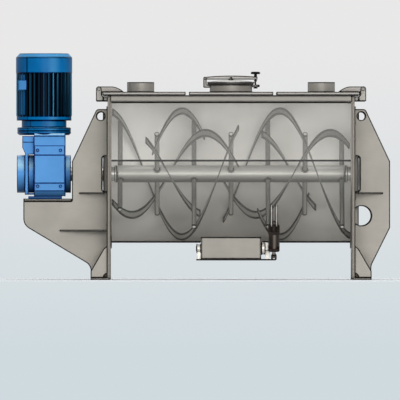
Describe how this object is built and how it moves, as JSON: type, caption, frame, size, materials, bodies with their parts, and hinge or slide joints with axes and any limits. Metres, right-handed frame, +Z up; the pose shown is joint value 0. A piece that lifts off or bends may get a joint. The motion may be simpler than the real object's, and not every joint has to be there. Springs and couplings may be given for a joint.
{
  "type": "horizontal ribbon mixer",
  "caption": "Horizontal batch mixer: U-shaped trough with helical ribbons on arms, geared motor, hinged lids with spouts, clamp hatch and pneumatic bottom flap.",
  "frame": {"origin": "centre of the four foot bolts, on the floor plane under the middle of the trough", "axes": "+X along the mixing shaft away from the motor, +Y to the rear, +Z up"},
  "size_m": [2.6187, 1.07, 1.584],
  "materials": {
    "frame_steel": "fine ground stainless sheet",
    "polished_steel": "polished stainless",
    "agitator_steel": "ground stainless pipe and band",
    "machined_steel": "turned steel",
    "bolt_steel": "stainless fasteners",
    "see_through_wall": "stainless wall shown see-through",
    "black_rubber": "food grade rubber",
    "knob_black": "moulded knob",
    "motor_blue": "blue paint on cast and sheet metal",
    "gearbox_blue": "light blue paint on cast iron",
    "blue_screws": "painted cap screws",
    "fan_plastic": "moulded fan",
    "cylinder_dark": "dark anodised barrel and caps",
    "bush_bronze": "bronze bush"
  },
  "bodies": {
    "root": {"bearing_bushes": "bush_bronze", "bracket_ribs": "frame_steel", "centre_lid": "frame_steel", "chute_flange": "frame_steel", "cylinder_bracket": "frame_steel", "discharge_chute": "frame_steel", "end_plate_bolts": "bolt_steel", "flap_bearings": "polished_steel", "foot_plates": "frame_steel", "gearbox_covers": "gearbox_blue", "gearbox_housing": "gearbox_blue", "gearbox_screws": "blue_screws", "gearbox_shelf": "frame_steel", "hatch_neck": "frame_steel", "hinge_pins": "bolt_steel", "left_bearing_housing": "polished_steel", "left_bracket_plates": "frame_steel", "left_end_plate": "frame_steel", "lid_cross_rails": "frame_steel", "lid_hinge_brackets": "polished_steel", "motor_adapter": "motor_blue", "motor_fan_cover": "motor_blue", "motor_housing": "motor_blue", "right_bearing_housing": "polished_steel", "right_bracket_plates": "frame_steel", "right_end_plate": "frame_steel", "rim_gasket": "black_rubber", "rim_rails": "frame_steel", "shaft_seals": "black_rubber", "terminal_box": "motor_blue", "trough_end_flanges": "frame_steel", "trough_front_lower": "see_through_wall", "trough_front_upper": "see_through_wall", "trough_rear_shell": "frame_steel"},
    "agitator": {"shaft_tube": "agitator_steel", "drive_shaft": "machined_steel", "end_stub_shaft": "machined_steel", "mixing_arms": "agitator_steel", "outer_ribbons_left": "agitator_steel", "outer_ribbons_right": "agitator_steel", "inner_ribbons_left": "agitator_steel", "inner_ribbons_right": "agitator_steel", "output_sleeve": "machined_steel"},
    "motor_rotor": {"motor_rotor": "machined_steel", "motor_fan": "fan_plastic"},
    "left_lid": {"left_lid": "frame_steel", "left_spout": "frame_steel"},
    "right_lid": {"right_lid": "frame_steel", "right_spout": "frame_steel"},
    "hatch": {"hatch_cover": "polished_steel", "hatch_yoke": "polished_steel", "hatch_gasket": "black_rubber"},
    "clamp": {"clamp_knob": "knob_black"},
    "flap": {"discharge_flap": "frame_steel", "flap_shaft": "frame_steel", "flap_lever": "frame_steel"},
    "cylinder_barrel": {"cylinder_tube": "cylinder_dark", "cylinder_caps": "cylinder_dark"},
    "cylinder_rod": {"piston_rod": "machined_steel", "rod_clevis": "cylinder_dark"}
  },
  "joints": [
    {"name": "agitator_turn", "type": "hinge", "parent": "root", "child": "agitator", "pos_m": [0, 0, 0.74], "axis": [1, 0, 0], "continuous": true},
    {"name": "rotor_turn", "type": "hinge", "parent": "root", "child": "motor_rotor", "pos_m": [-1.3097, 0, 1.3], "axis": [0, 0, 1], "continuous": true},
    {"name": "left_lid_hinge", "type": "hinge", "parent": "root", "child": "left_lid", "pos_m": [-0.924, 0, 1.3314], "axis": [0, -1, 0], "range_deg": [0, 95]},
    {"name": "right_lid_hinge", "type": "hinge", "parent": "root", "child": "right_lid", "pos_m": [0.924, 0, 1.3314], "axis": [0, 1, 0], "range_deg": [0, 95]},
    {"name": "hatch_hinge", "type": "hinge", "parent": "root", "child": "hatch", "pos_m": [-0.182, 0, 1.409], "axis": [0, -1, 0], "range_deg": [0, 100]},
    {"name": "clamp_turn", "type": "hinge", "parent": "hatch", "child": "clamp", "pos_m": [0.172, 0, 1.409], "axis": [0, 0, 1], "range_deg": [0, 90]},
    {"name": "flap_turn", "type": "hinge", "parent": "root", "child": "flap", "pos_m": [0, -0.147, 0.218], "axis": [1, 0, 0], "range_deg": [-45, 0]},
    {"name": "cylinder_swing", "type": "hinge", "parent": "root", "child": "cylinder_barrel", "pos_m": [0.3, -0.4, 0.394], "axis": [1, 0, 0], "range_deg": [-0.02, 0.1]},
    {"name": "rod_slide", "type": "slide", "parent": "cylinder_barrel", "child": "cylinder_rod", "axis": [0, 0.6876, -0.7261], "range_m": [-0.0505, 0.0005]}
  ],
  "couplings": [
    {"joint": "rotor_turn", "follows": "agitator_turn", "ratio": 28},
    {"joint": "cylinder_swing", "follows": "flap_turn", "ratio": -0.001738},
    {"joint": "rod_slide", "follows": "flap_turn", "m_per_rad": 0.06334}
  ]
}
